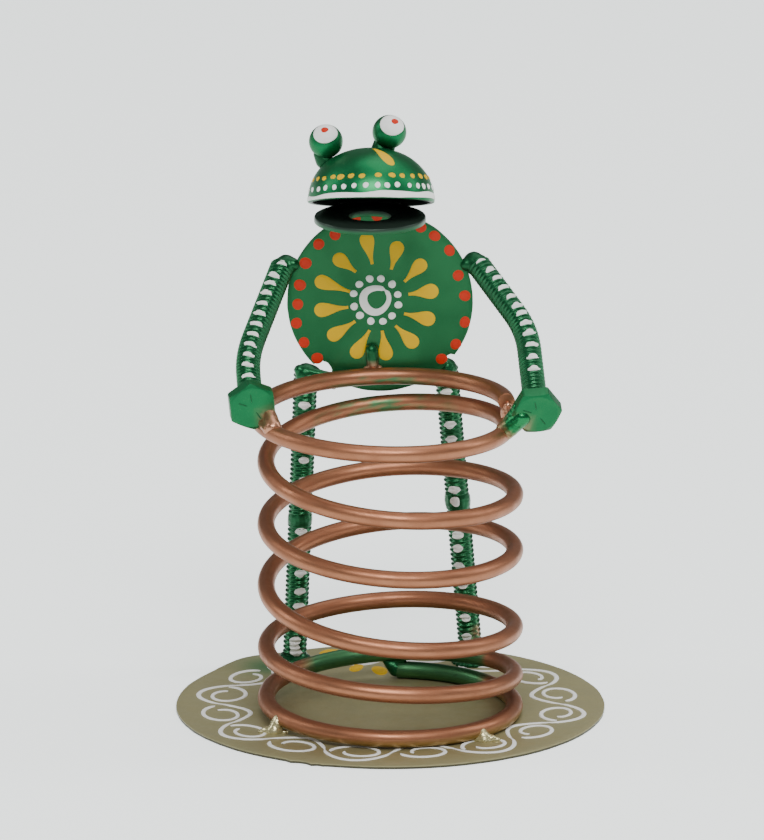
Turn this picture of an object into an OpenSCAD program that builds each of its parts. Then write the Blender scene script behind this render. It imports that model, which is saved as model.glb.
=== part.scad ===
// A frog welded up from bolts, threaded rod, washers and bearing balls. It stands on a round sheet-metal
// plate and holds a wide coil spring in front of it, and the open coil is the cup that pens stand in.
// Millimetres, +Z up. The origin is the centre of the plate's underside and the frog faces -Y, so its
// parts are named left and right as someone standing in front of it sees them (left is -X).

/* [Base plate] */
// Diameter of the round plate
base_d = 108; // [90:1:130]
// Thickness of the plate's sheet metal
base_t = 0.8; // [0.6:0.1:1.6]

/* [Coil spring] */
// Diameter of the coil, from wire centre to wire centre
coil_d = 62.2; // [52:0.1:75]
// Diameter of the spring wire
wire_d = 4.4; // [3.6:0.1:5.3]
// Height of the coil over its closed end rings
coil_h = 82; // [68:1:99]
// How far the coil's axis stands in front of the plate's centre
coil_forward = 7.6; // [5:0.1:10]
// How far the top ring is pushed over to the left
top_lean = 2.1; // [0:0.1:3]

/* [Body disc] */
// Diameter of the body disc
torso_d = 46.8; // [40:0.1:56]
// Thickness of the body disc
torso_t = 1.5; // [1:0.1:2.5]
// How far the body disc reaches down behind the coil
torso_lap = 7.4; // [5:0.1:9]
// Distance of the frog's middle to the left of the plate's middle
torso_aside = 2.6; // [0:0.1:5]

/* [Jaw washer] */
// Outside diameter of the washer that is the lower jaw
washer_d = 28; // [24:0.1:33.5]
// Diameter of the washer's hole
washer_hole_d = 10.5; // [8.5:0.1:13]
// Thickness of the washer
washer_t = 1.6; // [1:0.1:2.5]

/* [Head] */
// Outside diameter of the domed cap at its rim
dome_d = 31.8; // [30:0.1:38]
// Height of the domed cap
dome_h = 13.8; // [11.5:0.1:16.5]
// Thickness of the cap's wall
dome_wall = 1.2; // [0.8:0.1:2]
// Angle that the cap is tipped back, which opens the mouth
dome_tilt = 18.5; // [12:0.5:24]
// Diameter of the two eye balls
ball_d = 8.6; // [7:0.1:10.4]

/* [Limbs] */
// Outside diameter of the threaded rods and bolt shanks
rod_d = 6.2; // [5:0.1:7.5]
// Width across the flats of the bolt heads that are the hands
hex_af = 11.1; // [10:0.1:13.3]
// Thickness of the bolt heads
hex_t = 4.1; // [3:0.1:5]

/* [Hidden] */

touch = 0.05;       // gap between surfaces that only touch
cut = 1;            // how far a cutting shape runs past what it cuts
ring_sides = 12;    // sides of a swept round bar
round_fn = 96;      // facets of a large round
bead_fn = 20;       // facets of a weld bead

// --- the coil: it starts at the back, and climbs over the right, the front and the left ---
coil_first = 0.01;              // turn at which the wire's cut lower end lies
coil_last = 6.24;               // turn at which its upper end lies
steps_per_turn = 36;
coil_rise = coil_h - wire_d;
wire_lap = 0.1;                 // gap between the first turn and the wire's lower end
// Height reached at each half turn, as a share of the rise. The coil is hand-made and uneven.
rise = [0, 0.004, (wire_d + wire_lap) / coil_rise, 0.153, 0.237, 0.303, 0.501, 0.535,
        0.684, 0.732, 0.901, 0.948, 0.992, 1.02];
lean_from = 4.75;               // turn at which the top ring starts to move over
lean_over = 0.5;                // share of a turn that this takes

// --- places that follow from the coil ---
coil_back = coil_d / 2 + wire_d / 2 - coil_forward;
coil_top = base_t + coil_h;
torso_front = coil_back + touch;
torso_back = torso_front + torso_t;
torso_z = coil_top - torso_lap + torso_d / 2;
torso_c = [-torso_aside, torso_front, torso_z];
neck_z = torso_z + torso_d / 2 + touch;

// --- head ---
jaw_aside = 2.5;                // the jaw sits this far left of the body disc's middle
jaw_seat = 3.2;                 // overhang of the washer behind the body disc's front face
jaw_c = [-torso_aside - jaw_aside, torso_front + jaw_seat - washer_d / 2, neck_z];
dome_power = 2.15;              // 2 is an ellipse, more is squarer
dome_drop = 4.6;                // the cap's rim at the back hangs this far under its middle
dome_gap = 0.35;                // room between the cap's wall and the back of the washer
dome_c = [
    jaw_c[0] + 0.3,
    jaw_c[1] + washer_d / 2 + dome_gap - (dome_d / 2 - dome_wall) * cos(dome_tilt),
    neck_z + 0.1 + (dome_d / 2 - dome_wall) * sin(dome_tilt)
];
left_eye_at = 56.3;             // place of each eye on the cap's curve, in degrees up from its rim
right_eye_at = 77.6;

// --- hands: bolt heads held against the coil's top ring ---
hand_down = 21;                 // degrees that the right head faces below level; the left one is less tipped
left_hand = hand_place(246.4, 1.7 + wire_d / 2, 1.1);
right_hand = hand_place(108, 7.2 + wire_d / 2, -1);
left_hand_n = facing(9, hand_down - 11);
right_hand_n = facing(5, hand_down);

// --- arms: each is one bolt, bent at the elbow ---
shoulder_up = 23;               // degrees above the disc's middle where the arms are fixed
elbow_cut = 7;                  // length of straight bar that each side of the bend takes up
elbow_steps = 6;
left_arm = arm_path(shoulder(-1, 0.6), left_hand - hex_t * left_hand_n, 0.625, [-3.9, 0, -1.4]);
right_arm = arm_path(shoulder(1, 1.4), right_hand - hex_t * right_hand_n, 0.477, [5.4, 0, 0.3]);

// --- legs: two rods each, butted at the knee ---
hip_y = torso_back + touch + rod_d / 2;
foot_y = base_d / 2 - 16.6;
torso_bottom = torso_z - torso_d / 2;
left_hip = [-torso_aside - 0.4 * torso_d, hip_y, torso_bottom + 4.2];
right_hip = [-torso_aside + 0.355 * torso_d, hip_y, torso_bottom + 5.5];
left_foot = [left_hip[0] - 3.1, foot_y, base_t];
right_foot = [right_hip[0] + 6.7, foot_y, base_t];
left_knee = mix(left_foot, left_hip, 0.495);
right_knee = mix(right_foot, right_hip, 0.55);

// ---------------------------------------------------------------- functions
function unit(v) = v / norm(v);
function mix(a, b, u) = a + u * (b - a);
function clamp01(u) = max(0, min(1, u));
function ease(u) = clamp01(u) * clamp01(u) * (3 - 2 * clamp01(u));

// A direction out of the frog's front, turned right by aside degrees and down by down degrees
function facing(aside, down) = [sin(aside) * cos(down), -cos(aside) * cos(down), -sin(down)];

// Smooth curve through the half-turn heights
function knot(i) = rise[max(0, min(len(rise) - 1, i))];
function rise_at(turn) =
    let (i = floor(2 * turn), f = 2 * turn - i, a = knot(i), b = knot(i + 1),
         ma = (b - knot(i - 1)) / 2, mb = (knot(i + 2) - a) / 2)
    a + f * ma + f * f * (3 * (b - a) - 2 * ma - mb) + f * f * f * (2 * (a - b) + ma + mb);

function coil_point(turn) = [
    coil_d / 2 * sin(360 * turn) - top_lean * ease((turn - lean_from) / lean_over),
    coil_d / 2 * cos(360 * turn) - coil_forward,
    base_t + wire_d / 2 + coil_rise * rise_at(turn)
];
function coil_path(from, to) =
    let (n = ceil((to - from) * steps_per_turn))
    [for (i = [0 : n]) coil_point(from + (to - from) * i / n)];

// Middle of a bolt head's face: an angle round the top ring from the back, a distance outside the wire's
// centre line and a height over the coil
function hand_place(angle, out, up) = [
    (coil_d / 2 + out) * sin(angle) - top_lean,
    (coil_d / 2 + out) * cos(angle) - coil_forward,
    coil_top + up
];
// End of an arm against the disc's edge, on the side with the sign s
function shoulder(s, up) = [
    -torso_aside + s * (torso_d / 2 * cos(shoulder_up) + rod_d / 2 - 0.3 * touch),
    torso_front + 1.3,
    torso_z + torso_d / 2 * sin(shoulder_up) - 1.2 + up
];
// Points of a bar from a to b, with one rounded bend a share u of the way, pushed out by bulge
function arm_path(a, b, u, bulge) =
    let (e = mix(a, b, u) + bulge, p = e + elbow_cut * unit(a - e), q = e + elbow_cut * unit(b - e))
    concat([a], [for (i = [0 : elbow_steps])
        let (f = i / elbow_steps) (1 - f) * (1 - f) * p + 2 * f * (1 - f) * e + f * f * q], [b]);

function along(path, i) = unit(path[min(i + 1, len(path) - 1)] - path[max(i - 1, 0)]);
function bar_ring(path, i, r) =
    let (t = along(path, i), a = unit(cross(t, [0, 0, 1])), b = cross(a, t))
    [for (k = [0 : ring_sides - 1])
        path[i] + r * (cos(360 * k / ring_sides) * a + sin(360 * k / ring_sides) * b)];

// Point and outward direction on the cap's side curve, at an angle up from the rim
function dome_point(a, h, at) = [a * pow(cos(at), 2 / dome_power), h * pow(sin(at), 2 / dome_power)];
function dome_normal(p) = unit([
    pow(p[0], dome_power - 1) / pow(dome_d / 2, dome_power),
    pow(p[1], dome_power - 1) / pow(dome_h, dome_power)
]);

// ---------------------------------------------------------------- shared shapes
// Round bar of radius r along a list of points
module bar(path, r) {
    n = len(path);
    s = ring_sides;
    polyhedron(
        points = [for (i = [0 : n - 1]) each bar_ring(path, i, r)],
        faces = concat(
            [[for (k = [s - 1 : -1 : 0]) k]],
            [[for (k = [0 : s - 1]) (n - 1) * s + k]],
            [for (i = [0 : n - 2], k = [0 : s - 1])
                [i * s + k, i * s + (k + 1) % s, (i + 1) * s + (k + 1) % s, (i + 1) * s + k]]
        )
    );
}
module coil_part(from, to) { bar(coil_path(from, to), wire_d / 2); }

// Turns local +Z to the direction n and keeps local X level
module aim(n) { rotate([0, acos(n[2] / norm(n)), atan2(n[1], n[0])]) rotate([0, 0, -90]) children(); }

module rod(a, b) {
    difference() {
        translate(a) aim(b - a) translate([0, 0, -cut]) cylinder(d = rod_d, h = norm(b - a) + cut);
        translate([a[0], a[1], base_t - rod_d]) cylinder(d = 3 * rod_d, h = rod_d);
    }
}
// Rounded run of weld metal from a to b
module bead(a, ra, b, rb) {
    hull() {
        translate(a) sphere(r = ra, $fn = bead_fn);
        translate(b) sphere(r = rb, $fn = bead_fn);
    }
}

// ---------------------------------------------------------------- plate, coil, body and jaw
module base_plate() {
    color("darkkhaki") cylinder(d = base_d, h = base_t, $fn = round_fn);
}

module coil_spring() {
    color("sienna") coil_part(coil_first, coil_last);
}

// The disc stands on edge. Its rim has two small burnt notches just above the legs.
module torso_blank() {
    translate(torso_c) rotate([-90, 0, 0]) cylinder(d = torso_d, h = torso_t, $fn = round_fn);
}
module torso_disc() {
    color("seagreen") difference() {
        torso_blank();
        rim_notch(231, 2.6);
        rim_notch(320, 1.3);
    }
}
module rim_notch(angle, r) {
    translate(torso_c + torso_d / 2 * [cos(angle), 0, sin(angle)])
        translate([0, -cut, 0]) rotate([-90, 0, 0]) cylinder(r = r, h = torso_t + 2 * cut);
}

module jaw_washer() {
    color("darkgreen") difference() {
        washer_blank();
        translate(jaw_c - [0, 0, cut]) cylinder(d = washer_hole_d, h = washer_t + 2 * cut, $fn = round_fn);
    }
}
module washer_blank() {
    translate(jaw_c) cylinder(d = washer_d, h = washer_t, $fn = round_fn);
}

// ---------------------------------------------------------------- head and eyes
module on_dome() { translate(dome_c) rotate([-dome_tilt, 0, 0]) children(); }

module dome_solid(inset) {
    a = dome_d / 2 - inset;
    h = dome_h - inset;
    rotate_extrude($fn = round_fn)
        polygon(concat([[0, 0]], [for (at = [0 : 6 : 90]) at == 90 ? [0, h] : dome_point(a, h, at)]));
}
module dome_shell() {
    difference() {
        dome_solid(0);
        translate([0, 0, -touch]) dome_solid(dome_wall);
    }
}
module head_dome() { color("seagreen") on_dome() dome_shell(); }

// An eye at a place on the cap's curve, on the side with the sign s. Both eyes are in its middle plane.
module at_eye(s, at, up) {
    p = dome_point(dome_d / 2, dome_h, at);
    c = p + (ball_d / 2 + touch + up) * dome_normal(p);
    translate([s * c[0], 0, c[1]])
        rotate([0, s * atan2(dome_normal(p)[0], dome_normal(p)[1]), 0]) children();
}
module eye_ball(s, at) {
    color("seagreen") on_dome() at_eye(s, at, 0) sphere(d = ball_d, $fn = 48);
}
module left_eye_ball() { eye_ball(-1, left_eye_at); }
module right_eye_ball() { eye_ball(1, right_eye_at); }

// A lump of weld between the ball and the cap, thicker on the left than on the right
module eye_weld(s, at, r, off) {
    color("darkgreen") on_dome() difference() {
        at_eye(s, at, -ball_d / 2 - 1.4) translate([-off, 0, 0])
            cylinder(r1 = r + 0.2, r2 = r, h = 3.8, $fn = 48);
        at_eye(s, at, 0) sphere(d = ball_d, $fn = 48);
        dome_solid(0);
    }
}
module left_eye_weld() { eye_weld(-1, left_eye_at, 2.8, 0.7); }
module right_eye_weld() { eye_weld(1, right_eye_at, 2.5, 1.5); }

// Weld at the back of the mouth, between the washer's edge and the inside of the cap
module mouth_weld() {
    color("darkgreen") difference() {
        translate(jaw_c + [0, 0, washer_t + 0.2]) rotate([0, 0, 60])
            rotate_extrude(angle = 60, $fn = round_fn)
                translate([washer_d / 2 - 0.2, 0]) circle(r = 1.1, $fn = 24);
        washer_blank();
        on_dome() dome_shell();
    }
}
// Weld along the disc's top edge, under the washer
module neck_weld() {
    color("darkgreen") difference() {
        translate([-torso_aside - 6, torso_front + torso_t / 2, neck_z - 1]) rotate([0, 90, 0])
            cylinder(r = 1.8, h = 12, $fn = 32);
        torso_blank();
        washer_blank();
        translate([-torso_aside - 8, torso_front - 4, neck_z]) cube([16, 9, 4]);
    }
}

// ---------------------------------------------------------------- arms, hands and their welds
// Chamfered hexagon head: its face is at the origin, and it reaches back along -Z
module hex_head() {
    ac = hex_af / cos(30);
    intersection() {
        translate([0, 0, -hex_t]) cylinder(d = ac, h = hex_t, $fn = 6);
        translate([0, 0, -hex_t]) cylinder(r1 = ac / 2 + hex_t * 1.6, r2 = hex_af / 2 * 0.97, h = hex_t);
    }
}
module arm_bolt(path, face, n, roll) {
    color("seagreen") union() {
        bar(path, rod_d / 2);
        translate(face) aim(n) rotate([0, 0, roll]) hex_head();
    }
}
// The left head's lowest corner is melted into the wire
module left_arm_bolt() {
    difference() {
        arm_bolt(left_arm, left_hand, left_hand_n, -23);
        bar(coil_path(5.62, 5.78), wire_d / 2 + touch);
    }
}
module right_arm_bolt() { arm_bolt(right_arm, right_hand, right_hand_n, 5); }

module shoulder_weld(path, s) {
    end = path[0];
    color("darkgreen") difference() {
        bead(end + [-s * 0.6, 0.6, 0.2], rod_d / 2 + 0.35, end + [-s * (rod_d / 2 + 1.6), 0.2, -0.4], 2.1);
        bar(path, rod_d / 2);
        torso_blank();
    }
}
module left_shoulder_weld() { shoulder_weld(left_arm, -1); }
module right_shoulder_weld() { shoulder_weld(right_arm, 1); }

// Bead from a corner of the bolt head down to the wire of the coil
module hand_weld(from, turn, path, face, n, roll) {
    color("peru") difference() {
        bead(from, 1.4, coil_point(turn) + [0, 0, wire_d / 2 - 0.9], 2);
        coil_part(turn - 0.08, turn + 0.08);
        translate(face) aim(n) rotate([0, 0, roll]) hex_head();
    }
}
module left_hand_weld() {
    hand_weld(left_hand + [4, 3, -3.8], 5.67, left_arm, left_hand, left_hand_n, -23);
}
module right_hand_weld() {
    hand_weld(right_hand + [-5.6, 0.6, -0.9], 5.27, right_arm, right_hand, right_hand_n, 5);
}

// ---------------------------------------------------------------- legs and their welds
module left_thigh_rod() { color("seagreen") rod_piece(left_knee, left_hip); }
module right_thigh_rod() { color("seagreen") rod_piece(right_knee, right_hip); }
module left_shin_rod() { color("seagreen") rod(left_foot, left_knee); }
module right_shin_rod() { color("seagreen") rod(right_foot, right_knee); }
module rod_piece(a, b) { translate(a) aim(b - a) cylinder(d = rod_d, h = norm(b - a)); }

module hip_weld(hip, inward, rise_by) {
    color("darkgreen") difference() {
        bead(hip - [0, 0, 2.2], rod_d / 2 + 0.1, hip + [inward, -1.4, rise_by], 2.4);
        rod_piece(hip - [0, 0, 12], hip);
        torso_blank();
        translate(torso_c + [0, -6, 0]) rotate([-90, 0, 0]) cylinder(d = torso_d + 12, h = 6);
    }
}
module left_hip_weld() { hip_weld(left_hip, 7.6, -1.6); }
module right_hip_weld() { hip_weld(right_hip, -4.8, -0.4); }

module knee_weld(knee, hip) {
    color("darkgreen") translate(knee) aim(hip - knee) difference() {
        rotate_extrude($fn = round_fn)
            polygon([[0, -3], [rod_d / 2 + 0.1, -2.6], [rod_d / 2 + 0.7, -1.2], [rod_d / 2 + 0.8, 0.6],
                     [rod_d / 2 + 0.4, 2], [rod_d / 2 + 0.1, 2.7], [0, 3]]);
        translate([0, 0, -4]) cylinder(d = rod_d, h = 8);
    }
}
module left_knee_weld() { knee_weld(left_knee, left_hip); }
module right_knee_weld() { knee_weld(right_knee, right_hip); }

// Puddle of weld round the foot of each leg
module foot_weld(foot, knee) {
    color("darkgreen") difference() {
        translate(foot) cylinder(r1 = rod_d / 2 + 2.2, r2 = rod_d / 2 + 0.3, h = 2.6);
        rod(foot, knee);
    }
}
module left_foot_weld() { foot_weld(left_foot, left_knee); }
module right_foot_weld() { foot_weld(right_foot, right_knee); }

// ---------------------------------------------------------------- welds on the coil
// Short run from the top ring up the front of the body disc
module belly_weld() {
    foot = coil_point(5.988);
    color("peru") difference() {
        translate([foot[0], torso_front - 0.3, foot[2] + wire_d / 2 - 1])
            cylinder(r1 = 1.6, r2 = 0.9, h = 5.4);
        torso_blank();
        coil_part(5.9, 6.1);
    }
}
// The wire's two ends are tacked to the turn beside them
module coil_start_weld() {
    color("darkgreen") difference() {
        translate(coil_point(coil_first) + [-1.2, 0, wire_d / 2]) sphere(r = 2, $fn = 32);
        coil_part(coil_first, coil_first + 0.08);
        coil_part(0.94, 1.06);
    }
}
module coil_finish_weld() {
    low = coil_point(coil_last - 1);
    high = coil_point(coil_last);
    color("peru") difference() {
        translate(mix(low, high, 0.5)) cylinder(r = 1.7, h = norm(high - low) - wire_d + 1.6, center = true);
        coil_part(coil_last - 0.08, coil_last);
        coil_part(coil_last - 1.06, coil_last - 0.94);
    }
}
// Two lumps tack the bottom ring to the plate
module base_weld(turn, out) {
    c = coil_point(turn);
    away = [sin(360 * turn), cos(360 * turn), 0];
    color("darkkhaki") difference() {
        translate([c[0], c[1], base_t] + out * away)
            cylinder(r1 = 2.5, r2 = 1.7, h = c[2] - base_t + wire_d / 4);
        coil_part(turn - 0.05, turn + 0.05);
    }
}
module left_base_weld() { base_weld(0.665, wire_d / 2 + 0.8); }
module right_base_weld() { base_weld(0.377, wire_d / 2 + 0.6); }

base_plate();
coil_spring();
torso_disc();
jaw_washer();
head_dome();
left_eye_ball();
right_eye_ball();
left_arm_bolt();
right_arm_bolt();
left_thigh_rod();
right_thigh_rod();
left_shin_rod();
right_shin_rod();
left_eye_weld();
right_eye_weld();
mouth_weld();
neck_weld();
left_shoulder_weld();
right_shoulder_weld();
left_hip_weld();
right_hip_weld();
left_knee_weld();
right_knee_weld();
left_foot_weld();
right_foot_weld();
left_hand_weld();
right_hand_weld();
belly_weld();
coil_start_weld();
coil_finish_weld();
left_base_weld();
right_base_weld();
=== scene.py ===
import bmesh
import bpy
import random
from math import acos, asin, atan2, cos, exp, hypot, pi, radians, sin, sqrt
from math import degrees as in_degrees
from mathutils import Matrix, Vector, noise


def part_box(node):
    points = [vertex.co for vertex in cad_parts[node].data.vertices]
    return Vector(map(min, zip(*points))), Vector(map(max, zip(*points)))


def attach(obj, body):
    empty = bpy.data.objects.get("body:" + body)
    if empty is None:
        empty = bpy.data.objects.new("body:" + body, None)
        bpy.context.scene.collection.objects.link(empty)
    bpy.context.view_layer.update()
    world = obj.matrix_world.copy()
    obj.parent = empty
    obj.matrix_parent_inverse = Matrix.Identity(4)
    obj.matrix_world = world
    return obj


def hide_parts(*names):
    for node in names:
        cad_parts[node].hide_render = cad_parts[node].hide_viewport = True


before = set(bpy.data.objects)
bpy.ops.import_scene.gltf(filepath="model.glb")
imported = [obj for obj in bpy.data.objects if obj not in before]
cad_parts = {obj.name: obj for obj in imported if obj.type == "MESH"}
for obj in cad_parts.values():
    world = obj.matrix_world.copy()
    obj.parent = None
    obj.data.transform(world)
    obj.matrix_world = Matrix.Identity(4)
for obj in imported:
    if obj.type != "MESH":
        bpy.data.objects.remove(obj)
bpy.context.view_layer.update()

# ------------------------------------------------------------------ studio
# A pale sheet of paper, lit through from below, is the floor. A broad soft box hangs behind, a second one
# in front, and a weak one stands on each side. The camera is 3 m away and looks down by 15 degrees.
def add_object(name, data):
    """A new object in the scene, from its mesh, camera or lamp."""
    thing = bpy.data.objects.new(name, data)
    bpy.context.scene.collection.objects.link(thing)
    return thing


camera_distance = 3.0
camera_elevation = radians(15.2)
camera_target = Vector((-0.0021, 0.0, 0.0749))
camera_data = bpy.data.cameras.new("camera")
camera_data.sensor_width = 36.0
camera_data.lens = 514.3
camera_data.clip_end = 60.0
camera = add_object("camera", camera_data)
camera.location = camera_target + camera_distance * Vector(
    (0.0, -cos(camera_elevation), sin(camera_elevation)))
camera.rotation_euler = (pi / 2 - camera_elevation, 0.0, 0.0)
bpy.context.scene.camera = camera

paper_colour = (0.82, 0.86, 0.85, 1.0)
floor_mesh = bpy.data.meshes.new("floor")
floor_reach = 12.0
floor_mesh.from_pydata([(-floor_reach, -floor_reach, 0), (floor_reach, -floor_reach, 0),
                        (floor_reach, floor_reach, 0), (-floor_reach, floor_reach, 0)], [], [(0, 1, 2, 3)])
floor = add_object("floor", floor_mesh)
paper = bpy.data.materials.new("pale_paper")
paper.use_nodes = True
for label, value in (("Base Color", paper_colour), ("Roughness", 0.9), ("Emission Color", paper_colour),
                     ("Emission Strength", 1.08)):
    paper.node_tree.nodes["Principled BSDF"].inputs[label].default_value = value
floor_mesh.materials.append(paper)

world = bpy.data.worlds.new("studio")
bpy.context.scene.world = world
world.use_nodes = True
world.node_tree.nodes["Background"].inputs["Color"].default_value = (0.80, 0.84, 0.85, 1.0)
world.node_tree.nodes["Background"].inputs["Strength"].default_value = 0.24


def soft_light(name, place, aim_at, width, height, watts):
    """A rectangular soft box that faces a point."""
    data = bpy.data.lights.new(name, "AREA")
    data.shape = "RECTANGLE"
    data.size, data.size_y, data.energy = width, height, watts
    lamp = add_object(name, data)
    lamp.location = place
    lamp.rotation_euler = (Vector(aim_at) - Vector(place)).to_track_quat("-Z", "Y").to_euler()


soft_light("top_box", (0.6, 0.7, 2.6), (0.1, 0.2, 0.0), 2.4, 2.2, 36.0)
soft_light("front_box", (0.12, -1.6, 1.95), (0, 0, 0.05), 1.6, 0.8, 52.0)
soft_light("left_box", (-1.9, 0.3, 1.2), (0, 0, 0.08), 0.6, 1.2, 11.0)
soft_light("right_box", (1.9, 0.3, 1.3), (0, 0, 0.08), 0.6, 1.2, 13.0)

# ------------------------------------------------------------------ base plate
# A disc cut from thin sheet steel and sprayed antique gold, a little rough at its edge where it was
# cut, with a shallow crease at its rear left. The other pieces are welded to its top.
MM = 0.001


def box_mm(node):
    """Low corner, high corner and middle of a CAD node, in millimetres."""
    low, high = (Vector(c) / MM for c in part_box(node))
    return low, high, (low + high) / 2


def make_piece(name, points, faces, material, slot, stands_for=(), sharp=35.0, closed=True):
    """A mesh piece on the one body, from points in millimetres. Faces of a closed piece are turned outwards."""
    mesh = bpy.data.meshes.new(name)
    mesh.from_pydata([(p[0] * MM, p[1] * MM, p[2] * MM) for p in points], [], faces)
    mesh.validate()
    if closed:
        shape = bmesh.new()
        shape.from_mesh(mesh)
        bmesh.ops.recalc_face_normals(shape, faces=shape.faces)
        shape.to_mesh(mesh)
        shape.free()
    mesh.shade_smooth()
    mesh.set_sharp_from_angle(angle=radians(sharp))
    mesh.materials.append(material)
    piece = add_object(name, mesh)
    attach(piece, "root")
    if stands_for:
        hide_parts(*stands_for)
    return piece


def limited(share):
    return max(0.0, min(1.0, share))


def even_steps(count):
    return [i / count for i in range(count + 1)]


def round_angles(count):
    return [2 * pi * k / count for k in range(count)]


def ring_faces(rings, sides, loop=False):
    """Quads between rings of points, each ring closed on itself. In a loop the last ring meets the first."""
    return [(i * sides + k, i * sides + (k + 1) % sides, (i + 1) % rings * sides + (k + 1) % sides,
             (i + 1) % rings * sides + k) for i in range(rings - (not loop)) for k in range(sides)]


def fan(middle, first, sides):
    """Triangles from a middle point to the ring of points that starts at first."""
    return [(middle, first + k, first + (k + 1) % sides) for k in range(sides)]


def turned(rings, sides, place, ends=(), loop=False):
    """Points and faces of a shape turned about an axis. Each ring is (radius, height), and either may be a
    function of the angle. The ends are the middle points that close its first and last rings."""
    at = lambda size, a: size(a) if callable(size) else size
    pts = [place(at(r, a) * cos(a), at(r, a) * sin(a), at(h, a)) for r, h in rings for a in round_angles(sides)]
    fs = ring_faces(len(rings), sides, loop)
    for end, first in zip(ends, (0, (len(rings) - 1) * sides)):
        pts.append(end)
        fs += fan(len(pts) - 1, first, sides)
    return pts, fs


def mark(piece, name, value_at):
    """Stores a number from 0 to 1 at each point of a piece, such as how much stray spray it has caught."""
    layer = piece.data.attributes.new(name, "FLOAT", "POINT")
    for i, v in enumerate(piece.data.vertices):
        layer.data[i].value = limited(value_at(Vector(v.co) / MM))


def add_node(tree, kind, place, **settings):
    node = tree.nodes.new(kind)
    node.location = place
    for key, value in settings.items():
        setattr(node, key, value)
    return node


def group_with(name, inputs, outputs):
    """An empty shader node group with these sockets, and its input and output nodes."""
    tree = bpy.data.node_groups.new(name, "ShaderNodeTree")
    for label, kind, value in inputs:
        socket = tree.interface.new_socket(label, in_out="INPUT", socket_type=kind)
        socket.default_value = value
    for label, kind in outputs:
        tree.interface.new_socket(label, in_out="OUTPUT", socket_type=kind)
    return tree, add_node(tree, "NodeGroupInput", (-900, 0)), add_node(tree, "NodeGroupOutput", (700, 0))


# Sprayed paint: the colour drifts between a darker and a lighter coat, fine specks of flake sit in it,
# and the surface has orange peel.
spray, spray_in, spray_out = group_with(
    "sprayed_coat",
    [("Colour", "NodeSocketColor", (0.5, 0.5, 0.5, 1)), ("Dark", "NodeSocketColor", (0.1, 0.1, 0.1, 1)),
     ("Flake", "NodeSocketColor", (1, 1, 1, 1)), ("Drift", "NodeSocketFloat", 0.4),
     ("Flakes", "NodeSocketFloat", 0.3), ("Gloss", "NodeSocketFloat", 0.3)],
    [("Colour", "NodeSocketColor"), ("Roughness", "NodeSocketFloat"), ("Height", "NodeSocketFloat")])
spray_place = add_node(spray, "ShaderNodeTexCoord", (-900, -300))
spray_noise = {}
for row, (label, scale, detail) in enumerate((("drift", 140.0, 4.0), ("flake", 7000.0, 1.0), ("peel", 900.0, 2.0))):
    spray_noise[label] = add_node(spray, "ShaderNodeTexNoise", (-650, 150 - 300 * row))
    spray_noise[label].inputs["Scale"].default_value = scale
    spray_noise[label].inputs["Detail"].default_value = detail
    spray.links.new(spray_place.outputs["Object"], spray_noise[label].inputs["Vector"])


def spray_share(label, low, high, row):
    """How much of a layer shows: its noise between two levels, and that times the group's input."""
    band = add_node(spray, "ShaderNodeMapRange", (-420, row))
    band.inputs["From Min"].default_value, band.inputs["From Max"].default_value = low, high
    spray.links.new(spray_noise[label].outputs["Fac"], band.inputs["Value"])
    share = add_node(spray, "ShaderNodeMath", (-220, row), operation="MULTIPLY")
    spray.links.new(band.outputs["Result"], share.inputs[0])
    return band, share


drift_band, drift_share = spray_share("drift", 0.38, 0.68, 150)
flake_share = spray_share("flake", 0.50, 0.85, -150)[1]
drift_mix = add_node(spray, "ShaderNodeMix", (0, 150), data_type="RGBA")
flake_mix = add_node(spray, "ShaderNodeMix", (200, 50), data_type="RGBA")
gloss_add = add_node(spray, "ShaderNodeMath", (200, -200), operation="MULTIPLY_ADD")
gloss_add.inputs[1].default_value = 0.14
for source, label, node, socket in (
        (spray_in, "Drift", drift_share, 1), (drift_share, 0, drift_mix, "Factor"),
        (spray_in, "Colour", drift_mix, "A"), (spray_in, "Dark", drift_mix, "B"),
        (spray_in, "Flakes", flake_share, 1), (flake_share, 0, flake_mix, "Factor"),
        (drift_mix, "Result", flake_mix, "A"), (spray_in, "Flake", flake_mix, "B"),
        (flake_mix, "Result", spray_out, "Colour"), (drift_band, "Result", gloss_add, 0),
        (spray_in, "Gloss", gloss_add, 2), (gloss_add, 0, spray_out, "Roughness"),
        (spray_noise["peel"], "Fac", spray_out, "Height")):
    spray.links.new(source.outputs[label], node.inputs[socket])


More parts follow.
